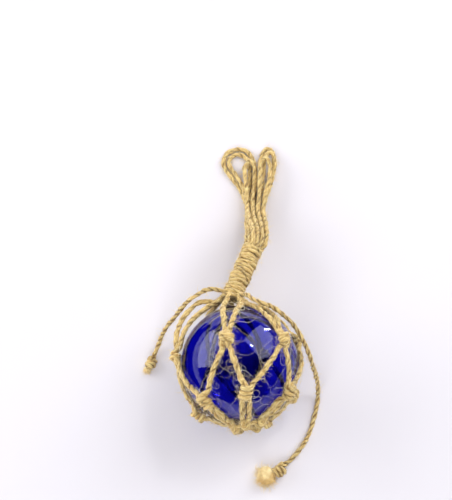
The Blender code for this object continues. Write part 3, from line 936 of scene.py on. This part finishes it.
fuzz = {
    "perMillimetre": 2.1,
    "lengths": (1.5, 6.0),
    "thickness": (0.12, 0.2),  # coarser than real ones, so that they show
    "curl": 0.22,
    "points": 6,
    "spread": (0.25, 1.1),  # how steeply a fibre leaves the twine
    "rootDepth": 0.8,  # share of the twine's radius
    "gap": 0.1,  # mm that a fibre stays off the glass
    "longCount": 440,
    "longLengths": (9.0, 34.0),
    "longThickness": (0.16, 0.26),
    "longCurl": 0.27,
    "longPoints": 18,
    "longGap": 0.2,
    "longReach": 2.4,  # mm above the glass at most
    "nearBall": 3,  # mm above the strands, where a long fibre may start
}


def fuzzAlong(name, lines, seed):
    draw = np.random.RandomState(seed)
    roots, aims = [], []
    for line in lines:
        count = round(distances(line)[-1] / mm * fuzz["perMillimetre"])
        ahead, across, other = framesAlong(line)
        at = draw.randint(0, len(line), count)
        angle = draw.uniform(0, 2 * math.pi, count)
        out = across[at] * np.cos(angle)[:, None] + other[at] * np.sin(angle)[:, None]
        roots.append(line[at] + out * twineRadius * fuzz["rootDepth"])
        forward = ahead[at] * draw.choice((-1, 1), count)[:, None]
        aims.append(forward + out * draw.uniform(*fuzz["spread"], count)[:, None])
    roots, aims = np.vstack(roots), np.vstack(aims)
    lengths = draw.uniform(*fuzz["lengths"], len(roots)) * mm
    paths = growFibres(roots, aims, lengths, fuzz["curl"], fuzz["points"], draw, fuzz["gap"])
    fibreMesh(name, paths, draw.uniform(*fuzz["thickness"], len(roots)) * mm, combedFibre)


def longFibres():
    draw = np.random.RandomState(seeds["longFibres"])
    centre = np.array(ballCentre)
    every = np.vstack(netLines)
    furthest = strandRadius + fuzz["nearBall"] * mm
    nearBall = every[np.linalg.norm(every - centre, axis=1) < furthest]
    roots = nearBall[draw.randint(0, len(nearBall), fuzz["longCount"])]
    out = roots - centre
    out /= np.linalg.norm(out, axis=1, keepdims=True)
    aims = np.cross(out, draw.normal(size=out.shape))
    roots = roots + out * twineRadius * fuzz["rootDepth"]
    lengths = draw.uniform(*fuzz["longLengths"], len(roots)) * mm
    paths = growFibres(
        roots, aims, lengths, fuzz["longCurl"], fuzz["longPoints"], draw, fuzz["longGap"],
    )
    # They settle back towards the glass
    away = paths - centre
    reach = np.linalg.norm(away, axis=2, keepdims=True)
    lift = np.minimum(reach - ballRadius, fuzz["longReach"] * mm)
    thickness = draw.uniform(*fuzz["longThickness"], len(roots)) * mm
    # Painted light: the long fibres get the nearly white fibre colour, so that they look brightly lit
    fibreMesh("long_fibres", centre + away / reach * (ballRadius + lift), thickness, strayFibrePaintedLit)


fuzzAlong("net_fibres", netLines, seeds["netFibres"])
fuzzAlong("cord_fibres", [*cordLines.values(), whippingLine], seeds["cordFibres"])
longFibres()
print("fibres made")


# The glass ball

# Wall, height of the waves and their length are in mm
glassBall = {"wall": 2.8, "waviness": 0.12, "waveLength": 35, "segments": 112, "rings": 56}


def makeGlassBall():
    g = glassBall
    deselectAll()
    bpy.ops.mesh.primitive_uv_sphere_add(
        segments=g["segments"], ring_count=g["rings"], radius=ballRadius, location=ballCentre,
        rotation=netAxis.to_track_quat("Z", "Y").to_euler(),
    )
    ball = bpy.context.object
    ball.name = ball.data.name = "blown_glass"
    waves = bpy.data.textures.new("wallWaves", "CLOUDS")
    waves.noise_scale = g["waveLength"] * mm
    uneven = ball.modifiers.new("uneven", "DISPLACE")
    uneven.texture = waves
    uneven.texture_coords = "LOCAL"
    uneven.strength = g["waviness"] * mm
    wall = ball.modifiers.new("wall", "SOLIDIFY")
    wall.thickness = g["wall"] * mm
    wall.offset = -1
    for modifier in ("uneven", "wall"):
        bpy.ops.object.modifier_apply(modifier=modifier)
    bpy.ops.object.transform_apply(location=True, rotation=True, scale=True)
    bpy.ops.object.shade_smooth()
    settle(ball, cobaltGlass, "glass_ball", slot="glass")


makeGlassBall()
print("glass made")


# Floor and studio light

studio = {
    "floor": "#E9E6EC",
    "floorSize": 14,  # metres
    "ambient": 0.19,
    "ambientColour": "#F6F4FF",
    # The two windows give the glass its broad reflections, the lamp and the bar its small bright ones
    "lights": {
        "leftWindow": {"place": (-1133, 458, 483), "size": (1380, 900), "watts": 14.0},
        "rightWindow": {"place": (844, 709, 727), "size": (1210, 1320), "watts": 13.0},
        "smallLamp": {"place": (301, 392, 767), "size": (91, 63), "watts": 0.6},
        "lowBar": {"place": (640, 820, 95), "size": (230, 42), "watts": 1.4, "roll": 66},
        "topSoft": {"place": (-100, 500, 1500), "size": (1800, 1800), "watts": 6.0, "matteOnly": True},
        "frontFill": {"place": (-300, -1300, 1100), "size": (1400, 900), "watts": 15.5, "matteOnly": True},
    },
    "aim": (0, 0, 38),
    # A dark card that only the glass sees keeps the floor's glare off its left side
    "card": {"colour": "#0C0C10", "place": (-78, 20, 24), "size": (170, 48)},
}


def makeMatt(name, colour, roughness, gloss):
    material, _, shader = newMaterial(name)
    shader.inputs["Base Color"].default_value = toLinear(colour)
    shader.inputs["Roughness"].default_value = roughness
    shader.inputs["Specular IOR Level"].default_value = gloss
    return material


def makeStudio():
    s = studio
    deselectAll()
    bpy.ops.mesh.primitive_plane_add(size=s["floorSize"])
    floor = bpy.context.object
    floor.name = "floor"
    # White sheet: even and matt, with hardly any shine
    floor.data.materials.append(makeMatt("mattWhiteSheet", s["floor"], 0.9, 0.1))
    bpy.ops.mesh.primitive_plane_add(
        size=1, location=onTable(s["card"]["place"]), rotation=(0, math.pi / 2, 0),
    )
    card = bpy.context.object
    card.name = "shadeCard"
    card.scale = (s["card"]["size"][1] * mm, s["card"]["size"][0] * mm, 1)
    # Black flock: almost no light comes back from it
    card.data.materials.append(makeMatt("blackFlock", s["card"]["colour"], 1.0, 0.0))
    card.visible_camera = False
    card.visible_diffuse = False
    card.visible_transmission = False
    card.visible_shadow = False
    for name, light in s["lights"].items():
        data = bpy.data.lights.new(name, "AREA")
        data.shape = "RECTANGLE"
        data.size, data.size_y = (side * mm for side in light["size"])
        data.energy = light["watts"]
        lamp = addObject(name, data)
        lamp.location = onTable(light["place"])
        aim = (onTable(s["aim"]) - lamp.location).to_track_quat("-Z", "Y").to_matrix()
        roll = Matrix.Rotation(math.radians(light.get("roll", 0)), 3, "Z")
        lamp.rotation_euler = (aim @ roll).to_euler()
        lamp.visible_camera = False
        lamp.visible_glossy = not light.get("matteOnly", False)
    world = bpy.data.worlds.new("studio")
    scene.world = world
    world.use_nodes = True
    background = world.node_tree.nodes["Background"]
    background.inputs["Color"].default_value = toLinear(s["ambientColour"])
    background.inputs["Strength"].default_value = s["ambient"]
    world.cycles_visibility.glossy = False
    scene.view_settings.view_transform = "Standard"


makeStudio()
print("studio lit")
